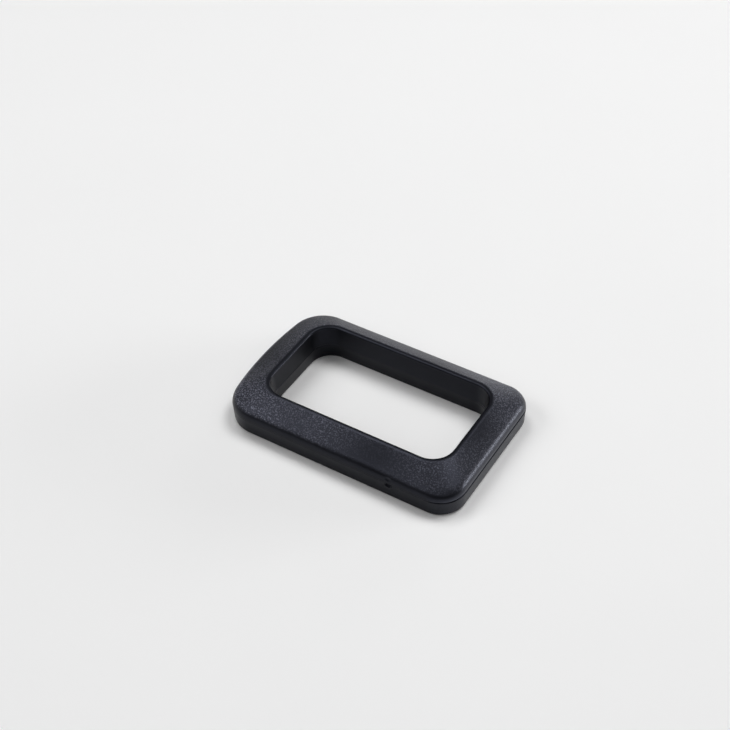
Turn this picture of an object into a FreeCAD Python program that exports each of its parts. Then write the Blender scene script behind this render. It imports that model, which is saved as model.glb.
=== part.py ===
import FreeCAD, Part
import math
import os

# Rectangular strap ring for 25 mm webbing, moulded in black plastic. All lengths are in millimetres.
# X runs along the ring's length, Y across it, Z up. The origin is at the middle of the underside.
# The ring lies on its flat back. Its top slopes down from a raised rim round the webbing opening to
# a shoulder on the outside. A parting line runs round it at one height, inside and out, and
# divides the ring into an upper and a lower half frame.

# Driving dimensions: the webbing opening and the four bars round it, measured at the parting line
opening_length = 26.0
opening_width = 13.7
opening_corner_radius = 2.7
side_bar_width = 4.1
right_bar_width = 3.8
left_bar_width = 5.15
front_right_corner_radius = 3.6
back_right_corner_radius = 3.1
left_corner_radius = 4.6
left_end_crown_radius = 46.0

# Heights above the underside
parting_height = 2.4
shoulder_height = 3.45
overall_height = 5.2

# Mould draft: how far each wall has leaned away from its place at the parting line, at its far edge
outer_draft = 0.1
opening_draft = 0.3

# The narrow flat land on top of the rim, beside the opening, before the slope starts
rim_land_width = 0.6

# Edge roundings, and the fine groove that the mould's two sides leave at the parting line
shoulder_radius = 1.35
rim_radius = 0.24
underside_outer_radius = 0.4
underside_opening_radius = 0.24
parting_groove_depth = 0.06

# The scar where the moulding was broken off its runner, on the front wall just below the parting line
gate_length = 0.85
gate_height = 0.6
gate_depth = 0.14
gate_from_left_end = 26.0

# Overall sizes that follow from the driving dimensions
overall_length = left_bar_width + opening_length + right_bar_width
overall_width = opening_width + 2 * side_bar_width
opening_centre_x = (left_bar_width - right_bar_width) / 2

# How far a cutting shape runs past the face that it cuts
overrun = 1.0


def arc_edge(centre_x, centre_y, radius, start_angle, end_angle, z):
    """An arc about a centre, between two angles in radians."""
    points = []
    for angle in (start_angle, (start_angle + end_angle) / 2, end_angle):
        x = centre_x + radius * math.cos(angle)
        y = centre_y + radius * math.sin(angle)
        points.append(FreeCAD.Vector(x, y, z))
    return Part.Arc(*points).toShape()


def outline(right_x, left_x, half_width, back_radius, front_radius, left_radius, crown_radius, z):
    """A rectangle with rounded corners, anticlockwise from its right end's back corner.

    The back and front radii are those of the right end's corners. With a crown radius the left end is
    one long arc, tangent to both its corners.
    """
    back_centre_x = right_x - back_radius
    back_centre_y = half_width - back_radius
    front_centre_x = right_x - front_radius
    front_centre_y = front_radius - half_width
    left_centre_y = half_width - left_radius
    if crown_radius:
        reach = crown_radius - left_radius
        crown_centre_x = left_x + crown_radius
        left_centre_x = crown_centre_x - math.sqrt(reach ** 2 - left_centre_y ** 2)
        lean = math.asin(left_centre_y / reach)
        left_end = arc_edge(crown_centre_x, 0, crown_radius, math.pi - lean, math.pi + lean, z)
    else:
        left_centre_x = left_x + left_radius
        lean = 0.0
        left_end = Part.makeLine((left_x, left_centre_y, z), (left_x, -left_centre_y, z))
    quarter = math.pi / 2
    return Part.Wire([
        arc_edge(back_centre_x, back_centre_y, back_radius, 0, quarter, z),
        Part.makeLine((back_centre_x, half_width, z), (left_centre_x, half_width, z)),
        arc_edge(left_centre_x, left_centre_y, left_radius, quarter, 2 * quarter - lean, z),
        left_end,
        arc_edge(left_centre_x, -left_centre_y, left_radius, 2 * quarter + lean, 3 * quarter, z),
        Part.makeLine((left_centre_x, -half_width, z), (front_centre_x, -half_width, z)),
        arc_edge(front_centre_x, front_centre_y, front_radius, 3 * quarter, 4 * quarter, z),
        Part.makeLine((right_x, front_centre_y, z), (right_x, back_centre_y, z)),
    ])


def outer_outline(inset, z):
    """The ring's outside, moved inwards all round."""
    return outline(
        overall_length / 2 - inset,
        -overall_length / 2 + inset,
        overall_width / 2 - inset,
        back_right_corner_radius - inset,
        front_right_corner_radius - inset,
        left_corner_radius - inset,
        left_end_crown_radius - inset,
        z,
    )


def opening_outline(growth, z):
    """The webbing opening, grown outwards into the bars."""
    return outline(
        opening_centre_x + opening_length / 2 + growth,
        opening_centre_x - opening_length / 2 - growth,
        opening_width / 2 + growth,
        opening_corner_radius + growth,
        opening_corner_radius + growth,
        opening_corner_radius + growth,
        None,
        z,
    )


def loft(*wires):
    """A solid with straight walls from each outline to the next."""
    return Part.makeLoft(list(wires), True, True)


def opening_space(face_height):
    """The space of the opening, from the parting line to a little past one face."""
    slope = opening_draft / abs(face_height - parting_height)
    past_face = face_height + math.copysign(overrun, face_height - parting_height)
    growth = slope * abs(past_face - parting_height)
    ends = sorted([(parting_height, 0.0), (past_face, growth)])
    return loft(*[opening_outline(end_growth, z) for z, end_growth in ends])


def distance_from_opening(point):
    """How far a point lies outside the opening's outline at the parting line, seen from above."""
    dx = abs(point.x - opening_centre_x) - (opening_length / 2 - opening_corner_radius)
    dy = abs(point.y) - (opening_width / 2 - opening_corner_radius)
    return math.hypot(max(dx, 0.0), max(dy, 0.0)) - opening_corner_radius


def loop_edges(shape, z, nearest, farthest):
    """The edges at one height whose middles lie within a band of distances from the opening."""
    chosen = []
    for edge in shape.Edges:
        middle = edge.valueAt((edge.FirstParameter + edge.LastParameter) / 2)
        ends = [vertex.Point for vertex in edge.Vertexes]
        level = all(abs(point.z - z) < 1e-4 for point in [middle] + ends)
        if level and nearest <= distance_from_opening(middle) <= farthest:
            chosen.append(edge)
    return chosen


def opening_edges(shape, z):
    return loop_edges(shape, z, -rim_land_width / 2, opening_draft + rim_land_width / 4)


def outer_edges(shape, z):
    narrowest_bar = min(side_bar_width, right_bar_width, left_bar_width)
    return loop_edges(shape, z, narrowest_bar / 2, 2 * left_bar_width)


def lower_half_frame():
    """The flat back, with walls that spread slightly up to the parting line, and the gate scar."""
    body = loft(outer_outline(outer_draft, 0.0), outer_outline(0.0, parting_height))
    body = body.cut(opening_space(0.0))
    body = body.makeFillet(underside_outer_radius, outer_edges(body, 0.0))
    body = body.makeFillet(underside_opening_radius, opening_edges(body, 0.0))
    return groove_at_parting_line(body).cut(gate_scar())


def upper_half_frame():
    """The short outer wall, the sloping top and the rim round the opening."""
    wall = loft(outer_outline(0.0, parting_height), outer_outline(outer_draft, shoulder_height))
    rim_outline = opening_outline(opening_draft + rim_land_width, overall_height)
    slope = loft(outer_outline(outer_draft, shoulder_height), rim_outline)
    body = wall.fuse(slope).cut(opening_space(overall_height))
    body = body.makeFillet(shoulder_radius, outer_edges(body, shoulder_height))
    body = body.makeFillet(rim_radius, opening_edges(body, overall_height))
    return groove_at_parting_line(body)


def groove_at_parting_line(body):
    """Bevel the edges at the parting line, so that the two halves meet in a fine V groove."""
    seam = outer_edges(body, parting_height) + opening_edges(body, parting_height)
    return body.makeChamfer(parting_groove_depth, seam)


def gate_scar():
    """The shallow hollow that the broken runner left in the front wall."""
    corner = FreeCAD.Vector(
        gate_from_left_end - overall_length / 2 - gate_length / 2,
        -overall_width / 2 - overrun,
        parting_height - parting_groove_depth - gate_height,
    )
    return Part.makeBox(gate_length, overrun + gate_depth, gate_height, corner)


os.makedirs("parts", exist_ok=True)
for name, make in (("upper_half_frame", upper_half_frame), ("lower_half_frame", lower_half_frame)):
    shape = make()
    if len(shape.Solids) != 1 or not shape.isValid():
        raise RuntimeError(name + " is not one valid solid")
    solid = shape.Solids[0]
    solid.exportStep("parts/" + name + ".step")
    box = solid.optimalBoundingBox()
    print(name, "volume", round(solid.Volume, 1))
    print("  from", box.XMin, box.YMin, box.ZMin)
    print("  to", box.XMax, box.YMax, box.ZMax)
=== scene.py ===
import math

import bpy
import numpy as np
from mathutils import Matrix, Vector, noise


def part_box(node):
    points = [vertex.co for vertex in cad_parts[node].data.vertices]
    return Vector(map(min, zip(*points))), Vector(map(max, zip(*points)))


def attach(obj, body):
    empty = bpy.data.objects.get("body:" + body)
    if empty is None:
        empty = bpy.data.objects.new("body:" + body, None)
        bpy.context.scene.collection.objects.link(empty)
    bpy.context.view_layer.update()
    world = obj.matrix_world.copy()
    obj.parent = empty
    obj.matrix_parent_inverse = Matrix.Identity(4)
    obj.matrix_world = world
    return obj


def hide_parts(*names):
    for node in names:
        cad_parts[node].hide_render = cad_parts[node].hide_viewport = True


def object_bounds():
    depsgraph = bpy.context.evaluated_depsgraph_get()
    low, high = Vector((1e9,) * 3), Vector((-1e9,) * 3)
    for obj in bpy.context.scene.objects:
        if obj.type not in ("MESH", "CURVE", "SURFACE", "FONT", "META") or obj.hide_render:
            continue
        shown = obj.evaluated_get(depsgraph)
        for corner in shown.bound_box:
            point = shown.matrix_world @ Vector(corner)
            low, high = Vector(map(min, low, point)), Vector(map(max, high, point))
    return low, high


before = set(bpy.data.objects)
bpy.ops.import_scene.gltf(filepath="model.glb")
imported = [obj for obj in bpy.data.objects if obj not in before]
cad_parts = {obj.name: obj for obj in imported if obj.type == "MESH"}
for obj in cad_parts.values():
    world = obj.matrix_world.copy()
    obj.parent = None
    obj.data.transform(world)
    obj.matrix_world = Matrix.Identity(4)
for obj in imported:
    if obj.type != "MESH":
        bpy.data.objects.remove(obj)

# A rectangular strap ring for 25 mm webbing, moulded in black plastic. Lengths are in metres, in the
# CAD frame: X along the ring, Y across it, Z up, with the ring lying on its flat back at z = 0.

MM = 0.001
cad_low, cad_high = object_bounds()
parting_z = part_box("lower_half_frame")[1].z

# ---------------------------------------------------------------- sizes

# The outside, from the frame
left_x = cad_low.x
right_x = cad_high.x
half_width = (cad_high.y - cad_low.y) / 2
top_z = cad_high.z

# The opening and the bars round it, as in the CAD model
opening_half_length = 13.0 * MM
opening_half_width = 6.85 * MM
opening_corner_radius = 2.7 * MM
right_bar = 3.8 * MM
opening_centre_x = right_x - right_bar - opening_half_length
front_right_corner_radius = 3.6 * MM
back_right_corner_radius = 3.1 * MM
left_corner_radius = 4.6 * MM
left_crown_radius = 46.0 * MM

# The section of a bar
shoulder_z = 3.45 * MM
outer_draft = 0.10 * MM
opening_draft = 0.30 * MM
land_width = 0.60 * MM
land_radius = 0.90 * MM
shoulder_radius = 1.60 * MM
rim_radius = 0.24 * MM
back_outer_radius = 0.40 * MM
back_opening_radius = 0.24 * MM
groove_depth = 0.32 * MM
inner_groove_depth = 0.04 * MM
groove_half_height = 0.18 * MM
inner_groove_half_height = 0.05 * MM
slope_bulge = 0.03 * MM

# The grain of the sloping top: coarse lumps that the mesh carries, under a finer grain in the material.
# It is strong in some patches and weak in others, and it fades out over a few rows at its edges. Where
# it is strong, the painted highlights and painted sheen in the material are strong too. The lower wall
# has a weaker grain, mostly at the straight end.
lump_size = 0.30 * MM
lump_height = 0.012 * MM
grain_fade_rows = 4
straight_end_grain = 0.35
patch_size = 11.06 * MM
patch_shift = Vector((-27.6, -18.2, -29.7))
patch_level = 0.55
patch_contrast = 1.2
weak_grain = 0.10

# How strongly each face shines, where 1 is the slope of the long bars. The gloss away from 1 paints
# light and shade: the walls are dulled as painted shade, the straight end's upper wall is made glossier
# as a painted reflection of bright light from that side, and the slope's ends are dulled as painted
# shade.
slope_gloss = 0.30
wall_sheen = 0.5
straight_end_sheen = 3.3
end_slope_sheen = 0.65

# The scar left by the runner, on the front wall: a torn hollow just below the parting line with a
# raised lip on its right, and a shallow dent above the line
gate_x = left_x + 26.0 * MM
gate_z = parting_z - 0.38 * MM
gate_half_length = 0.42 * MM
gate_half_height = 0.32 * MM
gate_depth = 0.32 * MM
lip_height = 0.07 * MM
dent_z = parting_z + 0.62 * MM
dent_half_height = 0.26 * MM
dent_depth = 0.07 * MM
tear_size = 0.16 * MM

# Steps of the mesh round the ring
corner_steps = 44
side_steps = 230
end_steps = 120
gate_steps = 40

# Steps of the mesh across a bar
upper_opening_wall_steps = 12
rim_steps = 7
land_steps = 6
slope_steps = 26
shoulder_steps = 18
upper_outer_wall_steps = 4
lower_opening_wall_steps = 8
back_opening_steps = 6
back_steps = 8
back_outer_steps = 8
lower_outer_wall_steps = 34


# ---------------------------------------------------------------- outlines

def arc_samples(centre, radius, start, end, count):
    """Points along an arc with the outward normal at each, without the last point."""
    angles = start + (end - start) * np.arange(count) / count
    normals = np.column_stack([np.cos(angles), np.sin(angles)])
    return np.asarray(centre) + radius * normals, normals


def line_samples(start, end, normal, shares):
    """Points at the given shares of a straight line, each with the line's normal."""
    start = np.asarray(start)
    points = start + (np.asarray(end) - start) * shares[:, None]
    return points, np.tile(normal, (len(shares), 1))


def front_shares():
    """Even steps along the front side, with closer ones where the gate scar is."""
    run = right_x - left_x - front_right_corner_radius - left_corner_radius
    middle = (gate_x - left_x - left_corner_radius) / run
    reach = 2 * gate_half_length / run
    close = np.linspace(middle - reach, middle + reach, gate_steps)
    even = np.arange(side_steps) / side_steps
    even = even[abs(even - middle) > reach]
    return np.sort(np.concatenate([even, close]))


def outline(right, left, half, back_radius, front_radius, left_radius, crown_radius):
    """A rounded rectangle, anticlockwise from its right end's back corner, with outward normals.

    The back and front radii are those of the right end's corners. With a crown radius the left end is
    one long arc, tangent to its corners.
    """
    back_centre = (right - back_radius, half - back_radius)
    front_centre = (right - front_radius, front_radius - half)
    left_centre_y = half - left_radius
    quarter = math.pi / 2
    side = np.arange(side_steps) / side_steps
    end = np.arange(end_steps) / end_steps
    lean = 0.0
    left_centre_x = left + left_radius
    if crown_radius:
        reach = crown_radius - left_radius
        crown_x = left + crown_radius
        lean = math.asin(left_centre_y / reach)
        left_centre_x = crown_x - reach * math.cos(lean)
        left_end = arc_samples((crown_x, 0), crown_radius, math.pi - lean, math.pi + lean, end_steps)
    else:
        left_end = line_samples((left, left_centre_y), (left, -left_centre_y), (-1, 0), end)
    back_left = (left_centre_x, left_centre_y)
    front_left = (left_centre_x, -left_centre_y)
    spans = [
        arc_samples(back_centre, back_radius, 0, quarter, corner_steps),
        line_samples((back_centre[0], half), (left_centre_x, half), (0, 1), side),
        arc_samples(back_left, left_radius, quarter, 2 * quarter - lean, corner_steps),
        left_end,
        arc_samples(front_left, left_radius, 2 * quarter + lean, 3 * quarter, corner_steps),
        line_samples((left_centre_x, -half), (front_centre[0], -half), (0, -1), front_shares()),
        arc_samples(front_centre, front_radius, 3 * quarter, 4 * quarter, corner_steps),
        line_samples((right, front_centre[1]), (right, back_centre[1]), (1, 0), end),
    ]
    points = np.vstack([points for points, normals in spans])
    normals = np.vstack([normals for points, normals in spans])
    return points, normals


outer_points, outer_normals = outline(
    right_x, left_x, half_width, back_right_corner_radius, front_right_corner_radius,
    left_corner_radius, left_crown_radius)
opening_points, opening_normals = outline(
    opening_centre_x + opening_half_length, opening_centre_x - opening_half_length,
    opening_half_width, opening_corner_radius, opening_corner_radius, opening_corner_radius, None)
round_count = len(outer_points)

# How far each place is on the straight end, from 0 to 1
straight_end_share = np.clip(outer_normals[:, 0], 0, 1)

# The groove at the parting line is open at the straight end and almost closed elsewhere; inside the
# opening it shows most on the two short walls
outer_depths = groove_depth * (0.06 + 0.94 * straight_end_share)
outer_half_heights = groove_half_height * (0.3 + 0.7 * straight_end_share)
inner_depths = inner_groove_depth * (0.2 + 0.8 * abs(opening_normals[:, 0]))


# ---------------------------------------------------------------- sections

def on_outside(offset, z):
    """A row of points round the ring: the outside moved outwards by offset, at height z."""
    offset = np.broadcast_to(offset, round_count)
    z = np.broadcast_to(z, round_count)
    return np.column_stack([outer_points + outer_normals * offset[:, None], z])


def on_opening(offset, z):
    """A row of points round the ring: the opening's outline moved into the bars, at height z."""
    offset = np.broadcast_to(offset, round_count)
    z = np.broadcast_to(z, round_count)
    return np.column_stack([opening_points + opening_normals * offset[:, None], z])


def unit(vectors):
    vectors = np.atleast_2d(np.asarray(vectors, float))
    return vectors / np.linalg.norm(vectors, axis=1)[:, None]


def rounding(corner, towards_start, towards_end, radius, steps):
    """The arc that rounds a corner of the section: (offset, z) pairs, one for each place in a row."""
    a = np.broadcast_to(unit(towards_start), (round_count, 2))
    b = np.broadcast_to(unit(towards_end), (round_count, 2))
    half_angle = np.arccos(np.clip((a * b).sum(1), -1, 1)) / 2
    middle = unit(a + b)
    centre = np.asarray(corner) + middle * (radius / np.sin(half_angle))[:, None]
    reach = (radius / np.tan(half_angle))[:, None]
    first = np.asarray(corner) + a * reach - centre
    last = np.asarray(corner) + b * reach - centre
    turn = np.arccos(np.clip((first * last).sum(1) / radius ** 2, -1, 1))
    arc = []
    for share in np.linspace(0, 1, steps + 1):
        blend = (np.sin((1 - share) * turn)[:, None] * first + np.sin(share * turn)[:, None] * last)
        arc.append(centre + blend / np.sin(turn)[:, None])
    return arc


def between(first, last, steps):
    """Rows between two rows, leaving both out."""
    return [first + (last - first) * k / steps for k in range(1, steps)]


def grain_shares(count, first, last):
    """The grain of each of a number of rows: full between two rows, fading to none at them."""
    places = np.arange(count)
    rise = (places - first) / grain_fade_rows
    fall = (last - places) / grain_fade_rows
    return np.clip(np.minimum(rise, fall), 0, 1)


def upper_rows():
    """The upper half's rows: up the opening's wall, over the rim, down the slope and the outer wall.

    With them come the grain's share at each point, from 0 to 1, and the sheen there.
    """
    wall_growth = opening_draft * inner_groove_half_height / (top_z - parting_z)
    rows = [
        on_opening(inner_depths, parting_z),
        on_opening(wall_growth, parting_z + inner_groove_half_height),
    ]

    down_opening = (-opening_draft, parting_z - top_z)
    rim = rounding((opening_draft, top_z), down_opening, (1, 0), rim_radius, rim_steps)
    rim_rows = [on_opening(p[:, 0], p[:, 1]) for p in rim]
    rows += between(rows[-1], rim_rows[0], upper_opening_wall_steps) + rim_rows
    rim_at = len(rows) - len(rim_rows)

    # The slope's lean, measured square to the outline
    run = outer_points - outer_normals * outer_draft - opening_points
    run = (run * outer_normals).sum(1) - opening_draft - land_width
    lean = np.arctan2(top_z - shoulder_z, run)
    slope_down = np.column_stack([np.cos(lean), -np.sin(lean)])
    land_edge = (opening_draft + land_width, top_z)
    land = rounding(land_edge, (-1, 0), slope_down, land_radius, land_steps)
    smooth_to = len(rows)
    rows += [on_opening(p[:, 0], p[:, 1]) for p in land]

    down_outside = (outer_draft, parting_z - shoulder_z)
    shoulder_edge = (-outer_draft, shoulder_z)
    shoulder = rounding(shoulder_edge, -slope_down, down_outside, shoulder_radius, shoulder_steps)
    shoulder_rows = [on_outside(p[:, 0], p[:, 1]) for p in shoulder]
    slope_rows = between(rows[-1], shoulder_rows[0], slope_steps)
    shoulder_at = len(rows) + len(slope_rows)
    for k, row in enumerate(slope_rows, 1):
        share = k / slope_steps
        row[:, 2] += slope_bulge * 4 * share * (1 - share)
    rows += slope_rows + shoulder_rows
    grained_to = len(rows) - shoulder_steps // 2

    wall_insets = outer_draft * outer_half_heights / (shoulder_z - parting_z)
    foot = on_outside(-wall_insets, parting_z + outer_half_heights)
    rows += between(rows[-1], foot, upper_outer_wall_steps)
    rows += [foot, on_outside(-outer_depths, parting_z)]

    # The sheen turns from the slope's to the wall's late on the shoulder, so that the straight end's
    # painted reflection lies on the wall rather than on the rounding
    places = np.arange(len(rows))
    wall_share = np.clip((places - shoulder_at) / len(shoulder_rows), 0, 1) ** 3
    slope_sheen = 1 + (end_slope_sheen - 1) * abs(outer_normals[:, 0])
    outside_sheen = wall_sheen + (straight_end_sheen - wall_sheen) * straight_end_share
    sheen = slope_sheen + np.outer(wall_share, outside_sheen - slope_sheen)
    sheen[:rim_at] = wall_sheen
    grain = grain_shares(len(rows), smooth_to, grained_to)
    return rows, np.outer(grain, np.ones(round_count)), sheen


def lower_rows():
    """The lower half's rows: down the opening's wall, across the flat back and up the outer wall.

    With them come the grain's share at each point, from 0 to 1, and the sheen there. Both are
    strongest at the straight end.
    """
    wall_growth = opening_draft * inner_groove_half_height / parting_z
    rows = [
        on_opening(inner_depths, parting_z),
        on_opening(wall_growth, parting_z - inner_groove_half_height),
    ]

    up_opening = (-opening_draft, parting_z)
    inner = rounding((opening_draft, 0), up_opening, (1, 0), back_opening_radius, back_opening_steps)
    inner_rows = [on_opening(p[:, 0], p[:, 1]) for p in inner]
    rows += between(rows[-1], inner_rows[0], lower_opening_wall_steps) + inner_rows

    up_outside = (outer_draft, parting_z)
    outer = rounding((-outer_draft, 0), (-1, 0), up_outside, back_outer_radius, back_outer_steps)
    outer_rows = [on_outside(p[:, 0], p[:, 1]) for p in outer]
    rows += between(rows[-1], outer_rows[0], back_steps) + outer_rows
    smooth_to = len(rows) - 1 - back_outer_steps // 2

    wall_insets = outer_draft * outer_half_heights / parting_z
    head = on_outside(-wall_insets, parting_z - outer_half_heights)
    rows += between(rows[-1], head, lower_outer_wall_steps)
    grained_to = len(rows) - 1
    rows += [head, on_outside(-outer_depths, parting_z)]

    grain = grain_shares(len(rows), smooth_to, grained_to)
    round_grain = straight_end_grain * (0.1 + 0.9 * straight_end_share)
    # Painted shade and reflection through the gloss: the lower walls are dulled, less so towards the
    # straight end
    round_sheen = wall_sheen * (1 + straight_end_share)
    return rows, np.outer(grain, round_grain), np.tile(round_sheen, (len(rows), 1))


# ---------------------------------------------------------------- surface relief

def patchiness(place):
    """How strong the grain is at a place, from weak_grain to 1."""
    value = noise.noise(place / patch_size + patch_shift)
    share = min(max(patch_level + patch_contrast * value, 0.0), 1.0)
    return weak_grain + (1 - weak_grain) * share


def gate_relief(place):
    """How far the gate scar raises the front wall at a place, in metres.

    Its edge is torn: the tear shifts the edge and makes the hollow's floor uneven.
    """
    if place.y > -0.9 * half_width:
        return 0.0
    along = (place.x - gate_x) / gate_half_length
    up = (place.z - gate_z) / gate_half_height
    dent_up = (place.z - dent_z) / dent_half_height
    tear = noise.noise(place / tear_size)
    radius = math.hypot(along, up) + 0.25 * tear
    hollow = gate_depth * min(max(2.0 * (1 - radius), 0.0), 1.0) * (0.8 + 0.4 * tear)
    lip = lip_height * math.exp(-((radius - 1.15) / 0.25) ** 2) * min(max(along, 0.0), 1.0)
    dent = dent_depth * max(1 - along ** 2 - dent_up ** 2, 0.0)
    return lip - hollow - dent


def add_relief(mesh, grain):
    """Raise the grain's lumps and the gate scar along the normals, and keep the grain's strength."""
    normals = [vertex.normal.copy() for vertex in mesh.vertices]
    strengths = []
    for vertex, normal, share in zip(mesh.vertices, normals, grain):
        place = vertex.co.copy()
        strength = share * patchiness(place) if share else 0.0
        lumps = lump_height * strength * noise.noise(place / lump_size)
        vertex.co = place + normal * (lumps + gate_relief(place))
        strengths.append(strength)
    layer = mesh.attributes.new("grain", "FLOAT", "POINT")
    layer.data.foreach_set("value", strengths)


def closed_ring(name, rows, grain, sheen, inward):
    """A closed mesh from rows of points round the ring; the last row joins the first.

    inward says that the faces, as the rows run, would turn inwards, so that each is reversed.
    """
    vertices = np.vstack(rows)
    faces = []
    for r in range(len(rows)):
        low, high = r * round_count, (r + 1) % len(rows) * round_count
        for k in range(round_count):
            step = (k + 1) % round_count
            quad = (low + k, high + k, high + step, low + step)
            faces.append(quad[::-1] if inward else quad)
    mesh = bpy.data.meshes.new(name)
    mesh.from_pydata(vertices.tolist(), [], faces)
    mesh.update()
    add_relief(mesh, grain.ravel())
    layer = mesh.attributes.new("sheen", "FLOAT", "POINT")
    layer.data.foreach_set("value", sheen.ravel())
    mesh.update()
    mesh.shade_smooth()
    mesh.set_sharp_from_angle(angle=math.radians(40))
    piece = bpy.data.objects.new(name, mesh)
    bpy.context.scene.collection.objects.link(piece)
    return piece


# ---------------------------------------------------------------- material

def new_material(name):
    material = bpy.data.materials.new(name)
    material.use_nodes = True
    nodes = material.node_tree.nodes
    return material, nodes, material.node_tree.links, nodes["Principled BSDF"]


def math_node(nodes, links, operation, first, second):
    node = nodes.new("ShaderNodeMath")
    node.operation = operation
    for socket, value in zip(node.inputs, (first, second)):
        if isinstance(value, (int, float)):
            socket.default_value = value
        else:
            links.new(value, socket)
    return node.outputs[0]


def black_plastic():
    """Black moulded plastic: spark-eroded grain where the grain attribute says, satin elsewhere.

    The grain is a bump of fine specks, and its colour carries painted light: a paler painted sheen for
    the sparkle of specks too fine to see, and a paler painted highlight on each speck. The highlights
    fade faster than the rest where the grain is weak.
    """
    material, nodes, links, shader = new_material("black_plastic")
    place = nodes.new("ShaderNodeTexCoord").outputs["Object"]
    grain = nodes.new("ShaderNodeAttribute")
    grain.attribute_name = "grain"
    grain = grain.outputs["Fac"]

    cells = nodes.new("ShaderNodeTexNoise")
    cells.inputs["Scale"].default_value = 5600
    cells.inputs["Detail"].default_value = 1.0
    cells.inputs["Roughness"].default_value = 0.6
    links.new(place, cells.inputs["Vector"])
    specks = nodes.new("ShaderNodeMapRange")
    specks.interpolation_type = "SMOOTHSTEP"
    specks.inputs["From Min"].default_value = 0.50
    specks.inputs["From Max"].default_value = 0.66
    links.new(cells.outputs["Fac"], specks.inputs["Value"])
    cloud = nodes.new("ShaderNodeTexNoise")
    cloud.inputs["Scale"].default_value = 260
    cloud.inputs["Detail"].default_value = 2.0
    links.new(place, cloud.inputs["Vector"])

    grain_height = math_node(nodes, links, "MULTIPLY", specks.outputs["Result"], grain)
    # Where the painted highlights fall: on the specks, weighted twice by the grain
    painted_glint_share = math_node(nodes, links, "MULTIPLY", grain_height, grain)
    grain_bump = nodes.new("ShaderNodeBump")
    grain_bump.inputs["Strength"].default_value = 1.0
    grain_bump.inputs["Distance"].default_value = 0.00004
    links.new(grain_height, grain_bump.inputs["Height"])

    wall_bump = nodes.new("ShaderNodeBump")
    wall_bump.inputs["Strength"].default_value = 0.35
    wall_bump.inputs["Distance"].default_value = 0.00004
    links.new(cloud.outputs["Fac"], wall_bump.inputs["Height"])
    links.new(grain_bump.outputs["Normal"], wall_bump.inputs["Normal"])
    links.new(wall_bump.outputs["Normal"], shader.inputs["Normal"])

    colour = nodes.new("ShaderNodeValToRGB")
    colour.color_ramp.elements[0].color = (0.0048, 0.0050, 0.0064, 1)
    colour.color_ramp.elements[1].color = (0.0082, 0.0086, 0.0110, 1)
    links.new(cloud.outputs["Fac"], colour.inputs["Fac"])
    # Painted sheen: where the grain is, the colour is lifted paler for the sparkle of specks too fine
    # to see
    painted_sheen_haze = nodes.new("ShaderNodeMixRGB")
    painted_sheen_haze.inputs["Color2"].default_value = (0.036, 0.037, 0.047, 1)
    links.new(grain, painted_sheen_haze.inputs["Fac"])
    links.new(colour.outputs["Color"], painted_sheen_haze.inputs["Color1"])
    # Painted highlight: each speck is painted paler, as the glint of light off its facet
    painted_glints = nodes.new("ShaderNodeMixRGB")
    painted_glints.inputs["Color2"].default_value = (0.180, 0.186, 0.234, 1)
    links.new(painted_glint_share, painted_glints.inputs["Fac"])
    links.new(painted_sheen_haze.outputs["Color"], painted_glints.inputs["Color1"])
    links.new(painted_glints.outputs["Color"], shader.inputs["Base Color"])

    roughness = nodes.new("ShaderNodeMapRange")
    roughness.inputs["To Min"].default_value = 0.32
    roughness.inputs["To Max"].default_value = 0.36
    links.new(grain, roughness.inputs["Value"])
    links.new(roughness.outputs["Result"], shader.inputs["Roughness"])
    # The sheen attribute scales the gloss, and its changes over the ring paint shade and reflection
    sheen = nodes.new("ShaderNodeAttribute")
    sheen.attribute_name = "sheen"
    gloss = math_node(nodes, links, "MULTIPLY", sheen.outputs["Fac"], slope_gloss)
    links.new(gloss, shader.inputs["Specular IOR Level"])
    shader.inputs["Specular Tint"].default_value = (0.72, 0.77, 1.0, 1)
    return material


def floor_material():
    """Matt white, very slightly mottled."""
    material, nodes, links, shader = new_material("pale_floor")
    place = nodes.new("ShaderNodeTexCoord").outputs["Object"]
    mottle = nodes.new("ShaderNodeTexNoise")
    mottle.inputs["Scale"].default_value = 40
    links.new(place, mottle.inputs["Vector"])
    colour = nodes.new("ShaderNodeValToRGB")
    colour.color_ramp.elements[0].color = (0.96, 0.96, 0.96, 1)
    colour.color_ramp.elements[1].color = (0.98, 0.98, 0.98, 1)
    links.new(mottle.outputs["Fac"], colour.inputs["Fac"])
    links.new(colour.outputs["Color"], shader.inputs["Base Color"])
    shader.inputs["Roughness"].default_value = 0.9
    shader.inputs["Specular IOR Level"].default_value = 0.0
    return material


# ---------------------------------------------------------------- pieces

plastic = black_plastic()
for name, make_rows, inward in (
        ("upper_half_frame", upper_rows, False),
        ("lower_half_frame", lower_rows, True)):
    rows, grain, sheen = make_rows()
    piece = closed_ring(name + "_moulding", rows, grain, sheen, inward)
    piece.data.materials.append(plastic)
    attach(piece, "root")
    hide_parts(name)


# ---------------------------------------------------------------- stage

floor_half_side = 1.5
floor_gap = 0.02 * MM


def make_floor():
    side = floor_half_side
    corners = [(-side, -side, 0), (side, -side, 0), (side, side, 0), (-side, side, 0)]
    mesh = bpy.data.meshes.new("floor")
    mesh.from_pydata(corners, [], [(0, 1, 2, 3)])
    floor = bpy.data.objects.new("floor", mesh)
    floor.location.z = -floor_gap
    bpy.context.scene.collection.objects.link(floor)
    mesh.materials.append(floor_material())


def direction(azimuth, elevation):
    """The unit vector from the ring towards a place; azimuth 0 is in front, at -Y, and 90 is at +X."""
    a, e = math.radians(azimuth), math.radians(elevation)
    return Vector((math.sin(a) * math.cos(e), -math.cos(a) * math.cos(e), math.sin(e)))


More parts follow.
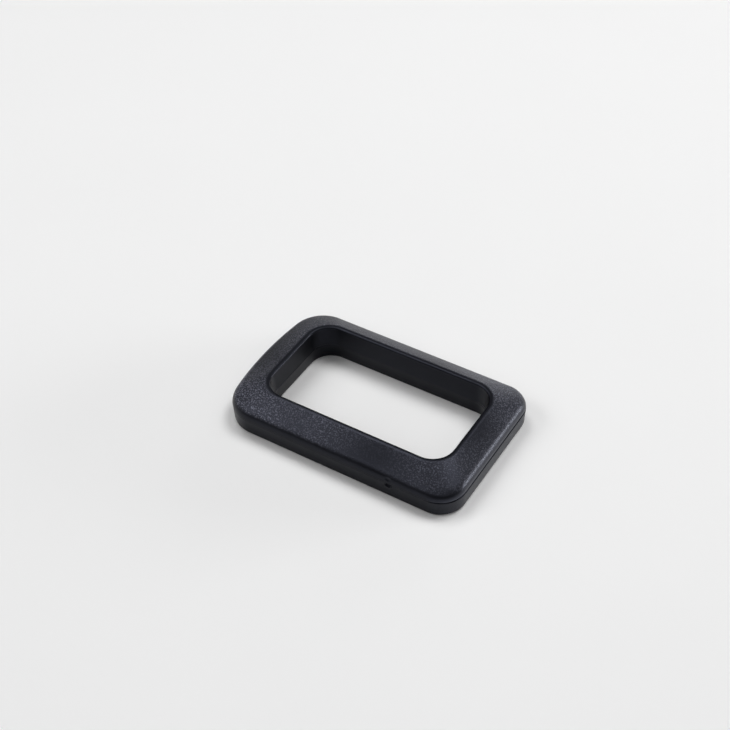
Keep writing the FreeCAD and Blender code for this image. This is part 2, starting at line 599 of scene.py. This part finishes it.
def softbox(name, azimuth, elevation, distance, width, height, watts):
    """A rectangular light that faces the ring. Distance and sizes are in metres."""
    light = bpy.data.lights.new(name, "AREA")
    light.shape = "RECTANGLE"
    light.size = width
    light.size_y = height
    light.energy = watts
    holder = bpy.data.objects.new(name, light)
    towards = direction(azimuth, elevation)
    holder.location = towards * distance
    holder.rotation_euler = towards.to_track_quat("Z", "Y").to_euler()
    bpy.context.scene.collection.objects.link(holder)


make_floor()

for name, azimuth, elevation, distance, width, height, watts in (
        ("back_right_low", 128, 5, 0.60, 0.30, 0.12, 2.40),
        ("back_low", 180, 8, 0.60, 0.24, 0.24, 0.50),
        ("right_middle", 120, 42, 0.60, 0.24, 0.24, 0.10),
        ("left_middle", 300, 42, 0.60, 0.24, 0.24, 0.60),
        ("front_left_middle", 330, 42, 0.60, 0.24, 0.24, 0.25),
        ("back_right_high", 150, 64, 0.60, 0.24, 0.24, 1.40),
        ("back_left_high", 240, 64, 0.60, 0.24, 0.24, 0.95),
        ("front_fill", 35, 50, 0.70, 0.60, 0.60, 0.60)):
    softbox(name, azimuth, elevation, distance, width, height, watts)

# The softboxes give all the light
world = bpy.data.worlds.new("studio")
bpy.context.scene.world = world
world.use_nodes = True
world.node_tree.nodes["Background"].inputs["Strength"].default_value = 0.0
bpy.context.scene.view_settings.view_transform = "Standard"


# ---------------------------------------------------------------- camera

camera_azimuth = 33.28
camera_elevation = 43.73
camera_roll = -2.16
camera_distance = 176.3 * MM
camera_lens = 67.43
# Where the middle of the opening, at the parting line, lies off the camera's axis
aim_right = 1.81 * MM
aim_up = -5.17 * MM


def make_camera():
    """The camera stands so that the opening's middle is off its axis by the aim distances."""
    back = direction(camera_azimuth, camera_elevation)
    right = direction(camera_azimuth + 90, 0)
    up = back.cross(right)
    turn = Matrix((right, up, back)).transposed()
    turn = turn @ Matrix.Rotation(math.radians(camera_roll), 3, "Z")
    middle = Vector((opening_centre_x, 0, parting_z))
    data = bpy.data.cameras.new("camera")
    data.sensor_width = 36
    data.lens = camera_lens
    data.clip_start = 0.001
    data.clip_end = 10
    camera = bpy.data.objects.new("camera", data)
    place = middle - turn @ Vector((aim_right, aim_up, -camera_distance))
    camera.matrix_world = Matrix.Translation(place) @ turn.to_4x4()
    bpy.context.scene.collection.objects.link(camera)
    bpy.context.scene.camera = camera


make_camera()
